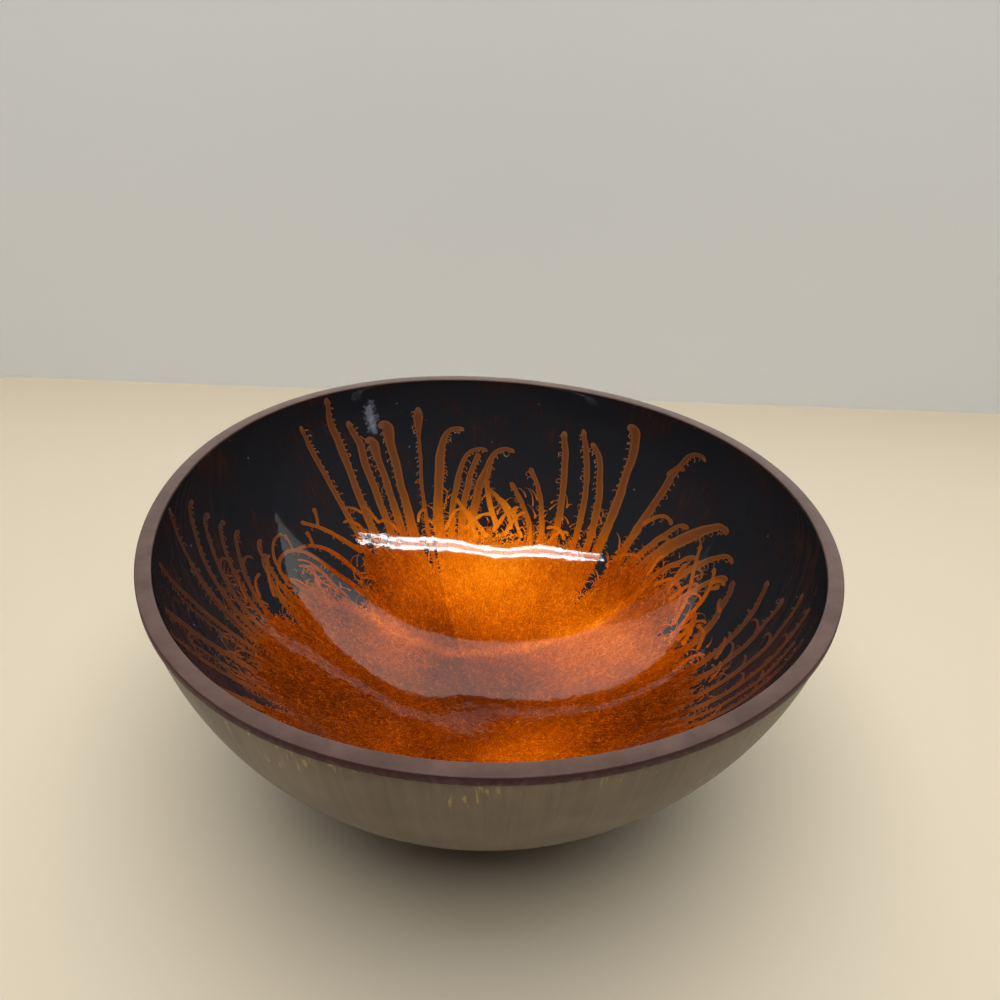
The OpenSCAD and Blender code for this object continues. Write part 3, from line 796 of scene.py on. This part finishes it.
# The value at part of the way from the first to the last of a range
def within(ends, part):
    return ends[0] + (ends[1] - ends[0]) * part


# The mat's edge goes a little past its reach and is ragged. It bulges where a strand leaves, and falls
# back near the seams. Towards the edge the lacquer is only a brown film, torn into holes. Every other
# mat is lifted a little, as neighbours overlap
mat = {"start": 0.11, "rows": 40, "columnsPerDegree": 2.6, "ragged": 0.045, "seam": 4.5, "overlap": 0.3,
       "past": 0.02, "bulge": 0.02, "bulgeWide": 1.3, "filmStart": 0.03, "film": 0.08, "filmTip": 0.3,
       "lift": 0.006, "brightTo": 0.05}


# How far out the mat goes in a direction: it falls back in a notch at each seam, and in the dents
def matEdge(plume, turn):
    fromTurn, toTurn = plume["span"]
    fromNotch, toNotch = plume["notches"]
    edge = plume["mat"] - fromNotch * np.clip(1 - (turn - fromTurn) / mat["seam"], 0, 1)
    edge = edge - toNotch * np.clip(1 - (toTurn - turn) / mat["seam"], 0, 1)
    for at, wide, deep in plume.get("dents", []):
        edge = edge - deep * np.exp(-((turn - at) / wide) ** 2)
    return edge


def addMat(sheet, plume, draw, lift):
    fromTurn, toTurn = plume["span"]
    columns = int((toTurn - fromTurn) * mat["columnsPerDegree"]) + 1
    turns = np.linspace(fromTurn - mat["overlap"], toTurn + mat["overlap"], columns)
    inside = np.clip(np.minimum(turns - fromTurn, toTurn - turns) / mat["seam"], 0.1, 1)
    ragged = 0.7 * (2 * draw.random(columns) - 1) + smoothLine(draw, columns, 1, columns // 6 + 2)[:, 0]
    edge = matEdge(plume, turns) + mat["past"] * inside + mat["ragged"] * ragged * inside
    for line in plume["strands"]:
        edge = edge + mat["bulge"] * inside * np.exp(-((turns - line[0]) / mat["bulgeWide"]) ** 2)
    share = mat["start"] + (edge[None, :] - mat["start"]) * wayAlong(mat["rows"])
    direction = np.broadcast_to(turns, share.shape)
    here = faceFrame(direction, share)
    top = (here.point + here.normal * (coat["matThick"] + lift)).reshape(-1, 3)
    under = (here.point + here.normal * coat["under"]).reshape(-1, 3)
    index = np.arange(len(top)).reshape(share.shape)
    quads = np.stack([index[:-1, :-1], index[1:, :-1], index[1:, 1:], index[:-1, 1:]], -1).reshape(-1, 4)
    lower = len(top)
    faces = quads.tolist() + (quads[:, ::-1] + lower).tolist()
    loop = [*index[0, :-1], *index[:-1, -1], *index[-1, :0:-1], *index[:0:-1, 0]]
    for a, b in zip(loop, loop[1:] + loop[:1]):
        faces.append((a, b, b + lower, a + lower))
    normals = glossNormal(direction, share, here.normal).reshape(-1, 3)
    film = np.clip((share - matEdge(plume, turns) + mat["filmStart"]) / mat["film"], 0, 1).ravel()
    glow = poolAndPaintedLightAt(direction, share).ravel() + plume["bright"] - coat["matDim"]
    sheet.add(np.concatenate([top, under]), faces, np.tile(normals, (2, 1)), across=0.0,
              tip=np.tile(mat["filmTip"] * film, 2), film=np.tile(film, 2), glow=np.tile(glow, 2),
              thin=plume["thin"], share=np.tile(share.ravel(), 2))


# How bright the lacquer is along a plume: beyond the mat it stays as at the mat's edge
def plumeGlow(plume, direction, share):
    return poolAndPaintedLightAt(direction, np.minimum(share, plume["mat"] - mat["brightTo"])) + plume["bright"]


# A strand is webbed where it leaves the mat. Further out it either widens into a head, or it tapers
# and ends in a small bulb
strand = {"rows": 84, "hookRows": 16, "leanPower": 1.6, "inMat": 0.08, "jitter": 0.3,
          "waves": 8, "widthWaves": 9, "widthWave": 0.10, "edgeWaves": 26, "edgeWave": 0.09,
          "headLong": 5, "headPlace": 2.6, "taperLong": 6, "web": 0.4, "webLong": 4,
          "bulb": 0.35, "bulbLong": 1.0, "bulbWide": 0.7, "tighten": (0.6, 1.4), "layers": (0.004, 3),
          "brown": 0.84, "brownFrom": 0.01, "brownOver": 0.26, "brownPower": 0.8}
# A barb or a branch leaves at an angle within a range, and bends back by an angle within another.
# Barbs stand close near the mat and on a head and apart elsewhere, and near the mat some are in pairs
barb = {"spacing": 1.25, "close": 0.7, "apart": 1.1, "lace": 0.07, "pairs": 0.8,
        "length": 1.45, "width": 0.32, "rows": 8, "bump": 0.22, "bumpWide": 0.35,
        "leave": (35, 75), "bend": (60, 180), "turns": (0.2, 0.4, 0.7, 1.0, 1.3, 1.5, 1.5, 1.4),
        "layers": (0.006, 4), "glow": 0.12}
branch = {"length": 5.5, "width": 0.9, "rows": 12, "places": (0.25, 0.85), "leave": (8, 30),
          "bend": (100, 170), "tighten": (0.1, 1.9), "layers": (0.006, 3), "glow": 0.08}


# How far a strand's colour has gone from the mat's orange (0) to red-brown
def strandTip(plume, share):
    gone = np.clip((share - plume["mat"] - strand["brownFrom"]) / strand["brownOver"], 0, 1)
    return strand["brown"] * gone ** strand["brownPower"]


# The strands, with a bump on the barbed edge for every barb. Gives back where barbs and branches start
def addStrands(sheet, plume, draw):
    middle, reach, lean, hook, radius, wide, head, branches = np.array(plume["strands"], float).T
    count = len(reach)
    middle = middle + strand["jitter"] * (draw.random(count) - 0.5) * 2
    # The hook takes the last of the reach
    hookShort = np.where(np.abs(hook) > 60, radius * 0.9, radius * np.abs(sinD(hook)))
    reachHere = reach - hookShort / faceLong
    start = np.minimum(plume["mat"] - strand["inMat"], matEdge(plume, middle) - 0.02)
    share = start + (reachHere - start) * wayAlong(strand["rows"])
    past = np.clip((share - plume["mat"]) / (reachHere - plume["mat"]), 0, 1)
    waves = plume["wave"] * smoothLine(draw, strand["rows"], count, strand["waves"]) * past
    direction = middle + lean * past ** strand["leanPower"] + waves
    # The hook carries on from the last heading, and tightens
    heading = headingOf(direction[-1] - direction[-2], share[-1] - share[-2],
                        faceFrame(direction[-1], share[-1]))
    hookLong = np.radians(np.abs(hook)) * radius
    bends = [hook / strand["hookRows"] * part for part in np.linspace(*strand["tighten"], strand["hookRows"])]
    hookTurns, hookShares, _ = walk(direction[-1], share[-1], heading, bends, hookLong / strand["hookRows"])
    direction = np.concatenate([direction, hookTurns[1:]])
    share = np.concatenate([share, hookShares[1:]])
    rows = len(direction)
    # Width: webbed in the mat, then full, then the head or a taper, and rounded off at the tip
    steps = np.linalg.norm(np.diff(facePoint(direction, share), axis=0), axis=-1)
    run = np.concatenate([np.zeros((1, count)), np.cumsum(steps, axis=0)])
    toTip = run[-1] - run
    web = 1 + strand["web"] * np.exp(-run / strand["webLong"])
    headPart = np.clip(1 - np.abs(toTip - strand["headPlace"]) / strand["headLong"], 0, 1) ** 0.9
    taper = np.clip(1 - toTip / (hookLong + strand["taperLong"]), 0, 1)
    bulb = np.exp(-((toTip - strand["bulbLong"]) / strand["bulbWide"]) ** 2) * (head < 1)
    half = wide / 2 * web * (1 + (head - 1) * np.where(head < 1, taper, headPart))
    half = half * (1 + strand["widthWave"] * smoothLine(draw, rows, count, strand["widthWaves"]))
    half = half * (1 + strand["bulb"] * bulb)
    half = half * roundEnd(toTip / np.maximum(half[-1] * 1.2, 0.3), 0.015)
    left, right = [half * (1 + strand["edgeWave"] * smoothLine(draw, rows, count, strand["edgeWaves"]))
                   for _ in range(2)]
    barbSide = np.where(hook >= 0, 1, -1)
    starts, branchStarts = [], []

    def startAt(i, at, side):
        j = min(int(np.searchsorted(run[:, i], at)), rows - 2)
        headingHere = headingOf(direction[j + 1, i] - direction[j, i], share[j + 1, i] - share[j, i],
                                faceFrame(direction[j, i], share[j, i]))
        return (np.interp(at, run[:, i], direction[:, i]), np.interp(at, run[:, i], share[:, i]), headingHere,
                side, np.interp(at, run[:, i], half[:, i]), *draw.random(3))

    for i in range(count):
        at = 1.0
        bumps = np.zeros(rows)
        while at < run[-1, i] - 0.9:
            inLace = np.interp(at, run[:, i], share[:, i]) < plume["mat"] + barb["lace"]
            onHead = head[i] > 1 and run[-1, i] - at < strand["headLong"] + 2
            bumps = np.maximum(bumps, np.exp(-((run[:, i] - at) / barb["bumpWide"]) ** 2))
            starts.append(startAt(i, at, barbSide[i]))
            if inLace and draw.random() < barb["pairs"]:
                starts.append(startAt(i, at, -barbSide[i]))
            spread = barb["close"] if inLace or onHead else barb["apart"]
            at += barb["spacing"] * spread * (0.5 + 1.0 * draw.random())
        edge = left if barbSide[i] > 0 else right
        edge[:, i] = edge[:, i] + bumps * barb["bump"] * np.clip(toTip[:, i] / 2, 0, 1)
        laceEnd = np.interp(plume["mat"] + 0.02, share[:strand["rows"], i], run[:strand["rows"], i])
        for n in range(int(branches[i])):
            way = within(branch["places"], (n + 0.3 + 0.4 * draw.random()) / branches[i])
            branchStarts.append(startAt(i, laceEnd + (run[-1, i] - hookLong[i] - laceEnd) * way, barbSide[i]))
    tip = np.clip(strandTip(plume, share) + 0.05 * np.clip(1 - toTip / 2, 0, 1), 0, 1)
    addStrips(sheet, direction, share, left, right, layered(coat["strandThick"], strand["layers"], count), tip,
              plume)
    return np.array(starts).T, np.array(branchStarts).T


# The barbs: commas that leave the edge of a strand and curl back towards its root, pale at the tip
def addBarbs(sheet, plume, starts):
    turn, share, heading, side, half, first, second, third = starts
    here = faceFrame(turn, share)
    turn, share = beside(turn, share, heading, side * half * 0.7, here.perDegree, here.perShare)
    out = np.clip((share - plume["mat"] - 0.03) / 0.15, 0, 1)
    length = barb["length"] * plume["barbs"] * (0.45 + 0.9 * first ** 1.3 + 0.8 * (third > 0.92))
    bend = side * within(barb["bend"], third) / barb["rows"]
    turns, shares, _ = walk(turn, share, heading + side * within(barb["leave"], second),
                            [bend * part for part in barb["turns"]], length / barb["rows"])
    way = wayAlong(len(turns))
    halfHere = barb["width"] / 2 * (1.5 - 0.8 * way ** 0.6) * bluntEnd(way, 10)
    halfHere = halfHere * (0.75 + 0.45 * second)
    base = strandTip(plume, share)
    tip = np.clip(base + (1 - base) * way ** 1.5 * (0.35 + 0.65 * out), 0, 1)
    addStrips(sheet, turns, shares, halfHere, halfHere, layered(coat["barbThick"], barb["layers"], len(side)),
              tip, plume, flatTop=False, glow=barb["glow"])


# Branches: longer curls that leave a strand at a low angle and hook over
def addBranches(sheet, plume, starts):
    turn, share, heading, side, _, first, second, third = starts
    length = branch["length"] * (0.55 + 0.8 * first)
    bend = side * within(branch["bend"], second) / branch["rows"]
    bends = [bend * part for part in np.linspace(*branch["tighten"], branch["rows"])]
    turns, shares, _ = walk(turn, share, heading + side * within(branch["leave"], third), bends,
                            length / branch["rows"])
    way = wayAlong(len(turns))
    half = branch["width"] / 2 * (1.15 - 0.65 * way) * bluntEnd(way, 12)
    addStrips(sheet, turns, shares, half, half, layered(coat["barbThick"] + 0.02, branch["layers"], len(side)),
              strandTip(plume, shares) * 0.9 + 0.06 * way, plume, glow=branch["glow"])


# A spur leaves the outside of an arc's bend
arc = {"rows": 30, "wander": 2.5, "waves": 9, "widthWaves": 12, "widthWave": 0.15, "web": 0.7, "webLong": 1.5,
       "bulb": 0.3, "bulbLong": 0.8, "bulbWide": 0.6, "barbSpacing": 2.4, "barbed": (0.3, 0.85),
       "layers": (0.004, 3), "glow": 0.14}
spur = {"place": 0.75, "turn": 80, "bend": 35, "bulb": 0.25, "bulbLong": 0.7, "bulbWide": 0.6}


# Arcs: drops that ran from strand to strand and made loops. Gives back where their barbs start
def addArcs(sheet, plume, draw):
    turn, share, heading, bend, length, wide, spurLong = np.array(plume["arcs"], float).T
    count = len(turn)
    # The bend comes late, as the drop slows down
    parts = 0.1 + 2.7 * wayAlong(arc["rows"]) ** 2
    bends = parts * bend / arc["rows"] + arc["wander"] * smoothLine(draw, arc["rows"], count, arc["waves"])
    turns, shares, headings = walk(turn, share, heading, bends, length / arc["rows"])
    toTip = length * np.linspace(1, 0, len(turns))[:, None]
    way = 1 - toTip / length
    waves = arc["widthWave"] * smoothLine(draw, len(turns), count, arc["widthWaves"])
    half = wide / 2 * (1.05 - 0.35 * way) * (1 + waves)
    inMat = share < matEdge(plume, turn) + 0.01
    half = half * (1 + arc["web"] * inMat * np.exp(-way * length / arc["webLong"]))
    half = half * roundEnd(way * length / 0.6)
    half = half * (1 + arc["bulb"] * np.exp(-((toTip - arc["bulbLong"]) / arc["bulbWide"]) ** 2))
    half = half * roundEnd(toTip / 0.5)
    addStrips(sheet, turns, shares, half, half, layered(coat["strandThick"] + 0.015, arc["layers"], count),
              strandTip(plume, shares) * (0.5 + 0.3 * way), plume, glow=arc["glow"])
    spurred = np.flatnonzero(spurLong)
    if len(spurred):
        row = int(spur["place"] * arc["rows"])
        side, long = np.sign(bend[spurred]), spurLong[spurred]
        spurTurns, spurShares, _ = walk(turns[row, spurred], shares[row, spurred],
                                        headings[row, spurred] - spur["turn"] * side,
                                        [side * spur["bend"] / arc["rows"]] * arc["rows"], long / arc["rows"])
        toTip = long * np.linspace(1, 0, len(spurTurns))[:, None]
        bulb = spur["bulb"] * np.exp(-((toTip - spur["bulbLong"]) / spur["bulbWide"]) ** 2)
        halfHere = wide[spurred] / 2 * (0.65 + bulb) * roundEnd(toTip / 0.4)
        addStrips(sheet, spurTurns, spurShares, halfHere, halfHere, coat["strandThick"],
                  strandTip(plume, spurShares) * 0.8, plume, glow=arc["glow"])
    starts = []
    for i in range(count):
        at, barbedTo = [part * length[i] for part in arc["barbed"]]
        while at < barbedTo:
            j = int(at / length[i] * arc["rows"])
            starts.append((turns[j, i], shares[j, i], headings[j, i], np.sign(bend[i]), half[j, i],
                           *draw.random(3)))
            at += arc["barbSpacing"] * (0.4 + 1.2 * draw.random())
    return np.array(starts).T


# Curls keep margin degrees off the seams, so that the dark wedges there stay clear
curl = {"length": 3.6, "width": 0.3, "rows": 12, "inside": 0.05, "margin": 1.3, "leave": (5, 40),
        "bend": (30, 120), "tighten": (0.1, 1.9), "layers": (0.005, 5), "glow": 0.32}


# Loose curls that fill the edge of the mat like lace
def addCurls(sheet, plume, draw):
    fromTurn, toTurn = plume["span"]
    count = plume["curls"] * len(plume["strands"])
    turn = fromTurn + curl["margin"] + (toTurn - fromTurn - 2 * curl["margin"]) * draw.random(count)
    share = matEdge(plume, turn) + (curl["inside"] + plume["lace"]) * draw.random(count) ** 1.3 - curl["inside"]
    side = np.where(draw.random(count) > 0.5, 1, -1)
    heading = side * within(curl["leave"], draw.random(count))
    length = curl["length"] * (0.4 + draw.random(count) ** 2 * 1.3)
    bend = side * within(curl["bend"], draw.random(count)) / curl["rows"]
    bends = [bend * part for part in np.linspace(*curl["tighten"], curl["rows"])]
    turns, shares, _ = walk(turn, share, heading, bends, length / curl["rows"])
    way = wayAlong(len(turns))
    wide = curl["width"] * (0.75 + 0.7 * draw.random(count) ** 2)
    half = wide / 2 * (1.5 - 0.9 * way ** 0.7) * bluntEnd(way, 10)
    addStrips(sheet, turns, shares, half, half, layered(coat["barbThick"] + 0.03, curl["layers"], count),
              0.6 * strandTip(plume, shares) + 0.35 * way ** 2, plume, flatTop=False,
              glow=curl["glow"] * draw.random(count))


# Per area is how many fibres lie on a square mm
fibre = {"perArea": 2.3, "length": 1.45, "width": 0.25, "rows": 4, "fringe": 0.05, "power": 0.62,
         "spread": 120, "bend": (30, 200), "layers": (0.004, 6), "glow": 0.33}


# The fine curly fibres that lie all over the mat, from a share to its edge, and fringe it. A power
# under 1 sends more of them outwards
def addFibres(sheet, plume, draw, start, power):
    fromTurn, toTurn = plume["span"]
    middle = faceFrame((fromTurn + toTurn) / 2, (start + plume["mat"]) / 2)
    area = (toTurn - fromTurn) * middle.perDegree * (plume["mat"] - start) * middle.perShare
    count = int(area * fibre["perArea"])
    turn = fromTurn + (toTurn - fromTurn) * draw.random(count)
    edge = matEdge(plume, turn) + fibre["fringe"] * (draw.random(count) - 0.3)
    share = start + (edge - start) * draw.random(count) ** power
    heading = (draw.random(count) - 0.5) * fibre["spread"]
    length = fibre["length"] * (0.5 + draw.random(count))
    side = np.where(draw.random(count) > 0.5, 1, -1)
    bend = side * within(fibre["bend"], draw.random(count)) / fibre["rows"]
    turns, shares, _ = walk(turn, share, heading, [bend] * fibre["rows"], length / fibre["rows"])
    wide = fibre["width"] * (0.7 + 0.6 * draw.random(count))
    half = wide / 2 * bluntEnd(2 * wayAlong(len(turns)) - 1, 6, 0.05)
    addStrips(sheet, turns, shares, half, half, layered(coat["barbThick"], fibre["layers"], count), 0.0, plume,
              flatTop=False, glow=0.02 + fibre["glow"] * draw.random(count) ** 1.5)


def makePlume(name, plume, seed):
    draw = np.random.default_rng(seed)
    sheet = Sheet()
    addMat(sheet, plume, draw, mat["lift"] * (seed % 2))
    starts, branchStarts = addStrands(sheet, plume, draw)
    addBarbs(sheet, plume, np.concatenate([starts, addArcs(sheet, plume, draw)], axis=1))
    if len(branchStarts):
        addBranches(sheet, plume, branchStarts)
    addCurls(sheet, plume, draw)
    addFibres(sheet, plume, draw, mat["start"], fibre["power"])
    piece = sheet.make(name.replace("plume", "blown_plume"), orangeLacquerMaterial)
    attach(piece, "root")
    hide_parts(name)
    print(name, sheet.count, "points,", len(sheet.faces), "faces")


pool = {"reach": 0.135, "around": 120, "rows": 8, "fibreEdge": 0.02, "fibreStart": 0.02, "fibrePower": 0.5}
# Each seeded draw gives the same chances in every run
seeds = {"pool": 19, "firstPlume": 20}


# The pool in the middle: rings out along its underside and back over its top
def makePool():
    turns = allRound(pool["around"])
    shares = [pool["reach"] * i / pool["rows"] for i in range(pool["rows"], 0, -1)]
    rows = [(turns, np.full(len(turns), share)) for share in shares]
    frames = [faceFrame(*row) for row in rows]
    glow = [poolAndPaintedLightAt(*row) for row in rows]
    rings = [here.point + here.normal * coat["under"] for here in frames[::-1]]
    rings += [here.point + here.normal * coat["poolThick"] for here in frames]
    poles = facePoint(0.0, 0.0) + np.array([[0, 0, coat["under"]], [0, 0, coat["poolThick"]]])
    middle = glossNormal(np.array([0.0]), np.array([0.001]), np.array([[0, 0, 1.0]]))
    normals = [here.normal for here in frames[::-1]]
    normals += [glossNormal(*row, here.normal) for row, here in zip(rows, frames)] + [middle, middle]
    sheet = Sheet()
    sheet.add(np.concatenate(rings + [poles]), poleFaces(len(rings), pool["around"]), np.concatenate(normals),
              across=0.0, tip=0.0, film=0.0, thin=0.0,
              glow=np.concatenate(glow[::-1] + glow + [np.full(2, poolAndPaintedLightAt(0.0, 0.0))]) - coat["matDim"],
              share=np.append(np.repeat(shares[::-1] + shares, pool["around"]), [0, 0]))
    wholeTurn = {"span": (0, 360), "mat": pool["reach"] - pool["fibreEdge"], "notches": (0, 0), "bright": 0.0,
                 "thin": 0.0}
    addFibres(sheet, wholeTurn, np.random.default_rng(seeds["pool"]), pool["fibreStart"], pool["fibrePower"])
    piece = sheet.make("pool", orangeLacquerMaterial)
    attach(piece, "root")
    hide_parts("orange_pool")


print("pool")
makePool()
print("plumes")
for seed, (plumeName, plume) in enumerate(plumes.items(), seeds["firstPlume"]):
    makePlume(plumeName, plume, seed)

print("camera, floor and lights")
# Fitted to both edges of the rim. Its place, lens and sensor are in mm
camera = {"place": (2.43, -145.7, 146.2), "right": (0.9993, 0.0191, 0.0322), "up": (-0.0375, 0.5098, 0.8595),
          "lens": 30.6, "sensor": 36}
cameraData = bpy.data.cameras.new("camera")
cameraData.sensor_width = camera["sensor"]
cameraData.lens = camera["lens"]
cameraData.clip_start = 0.005
cameraObject = bpy.data.objects.new("camera", cameraData)
bpy.context.scene.collection.objects.link(cameraObject)
cameraRight, cameraUp = Vector(camera["right"]).normalized(), Vector(camera["up"]).normalized()
turned = Matrix((cameraRight, cameraUp, cameraRight.cross(cameraUp))).transposed().to_4x4()
cameraObject.matrix_world = Matrix.Translation(Vector(camera["place"]) * mm) @ turned
bpy.context.scene.camera = cameraObject

# The stage and the lights are in metres
stage = {"floorWide": 1.6, "floorColour": "#C9BCA4", "backdropWide": 0.92, "backdropY": 0.188,
         "backdropHigh": 0.5, "backdropColour": "#EAECEB", "roughness": 0.7}


def addPlane(name, corners, colour):
    mesh = bpy.data.meshes.new(name)
    mesh.from_pydata(corners, [], [(0, 1, 2, 3)])
    material, tree, shader = newMaterial(name + " paint")
    setInputs(tree, shader, {"Base Color": fromHex(colour), "Roughness": stage["roughness"]})
    mesh.materials.append(material)
    plane = bpy.data.objects.new(name, mesh)
    bpy.context.scene.collection.objects.link(plane)


floorHalf, backY = stage["floorWide"] / 2, stage["backdropY"]
addPlane("floor", [(-floorHalf, -floorHalf, 0), (floorHalf, -floorHalf, 0), (floorHalf, backY, 0),
                   (-floorHalf, backY, 0)], stage["floorColour"])
backHalf, backHigh = stage["backdropWide"] / 2, stage["backdropHigh"]
addPlane("backdrop", [(-backHalf, backY, 0), (backHalf, backY, 0), (backHalf, backY, backHigh),
                      (-backHalf, backY, backHigh)], stage["backdropColour"])

lights = {
    "tubeLong": 0.92, "tubeWide": 0.013, "tubeHigh": 0.52, "tubeYs": (-0.162, -0.194), "tubeBow": 0.11,
    "tubeTurn": 0.04, "tubeParts": 9, "tubeTaper": 5, "tubeGlow": 60, "gapGlow": 15,
    "panelLow": 0.05, "panelHigh": 0.46, "panelLongs": (0.71, 0.62, 0.52, 0.42, 0.30), "panelPlace": 0.07,
    "panelGlows": (1.45, 0.35, 0.35, 0.35, 0.35), "panelOff": 0.004, "panelApart": 0.001,
    "panelColour": "#F0F3EC",
    "fillWide": 1.0, "fillPlace": (0, -0.1, 0.9), "fillWatts": 12, "worldGlow": 0.07,
}


def addLight(name, size, place, aim, watts):
    data = bpy.data.lights.new(name, "AREA")
    data.shape = "RECTANGLE"
    data.size, data.size_y = size
    data.energy = watts
    light = bpy.data.objects.new(name, data)
    bpy.context.scene.collection.objects.link(light)
    light.location = place
    light.rotation_euler = (Vector(aim) - Vector(place)).to_track_quat("-Z", "Y").to_euler()
    light.visible_camera = False
    return light


# Adds a bowed strip light overhead, made of short straight lengths that taper at its ends.
# Glow is its radiance in W per square metre and steradian. Only the gloss shows it
def addTube(name, middleY, wide, glow):
    long, parts = lights["tubeLong"], lights["tubeParts"]
    edges = [Vector((x, middleY + lights["tubeBow"] * (2 * x / long) ** 2 + lights["tubeTurn"] * x,
                     lights["tubeHigh"])) for x in np.linspace(-long / 2, long / 2, parts + 1)]
    for part, (start, end) in enumerate(zip(edges, edges[1:])):
        across = end - start
        wideHere = wide * (1 - abs(2 * (part + 0.5) / parts - 1) ** lights["tubeTaper"])
        light = addLight(f"{name}_{part}", (across.length, wideHere), (start + end) / 2, (0, 0, 0),
                         glow * math.pi * across.length * wideHere)
        light.rotation_euler = (0, 0, math.atan2(across.y, across.x))
        light.visible_diffuse = False


frontTube, backTube = lights["tubeYs"]
addTube("front_tube", frontTube, lights["tubeWide"], lights["tubeGlow"])
addTube("back_tube", backTube, lights["tubeWide"], lights["tubeGlow"])
addTube("tube_gap", (frontTube + backTube) / 2, frontTube - backTube - lights["tubeWide"], lights["gapGlow"])
# The panel is a soft light before the backdrop, brighter towards its middle. Only the gloss shows it
panelMiddle = lights["panelLow"] + lights["panelHigh"] / 2
for number, (long, glow) in enumerate(zip(lights["panelLongs"], lights["panelGlows"])):
    panelY = backY - lights["panelOff"] - lights["panelApart"] * number
    panel = addLight(f"panel_{number}", (long, lights["panelHigh"]),
                     (lights["panelPlace"], panelY, panelMiddle), (lights["panelPlace"], 0, panelMiddle),
                     glow * math.pi * long * lights["panelHigh"])
    panel.data.color = fromHex(lights["panelColour"])[:3]
    panel.visible_diffuse = False
# A wide soft fill from above, which the gloss doesn't show
fill = addLight("fill", (lights["fillWide"], lights["fillWide"]), lights["fillPlace"], (0, 0, 0),
                lights["fillWatts"])
fill.visible_glossy = False

world = bpy.data.worlds.new("studio")
world.use_nodes = True
setInputs(world.node_tree, world.node_tree.nodes["Background"],
          {"Color": fromHex("#FFFFFF"), "Strength": lights["worldGlow"]})
bpy.context.scene.world = world
bpy.context.scene.view_settings.view_transform = "Standard"
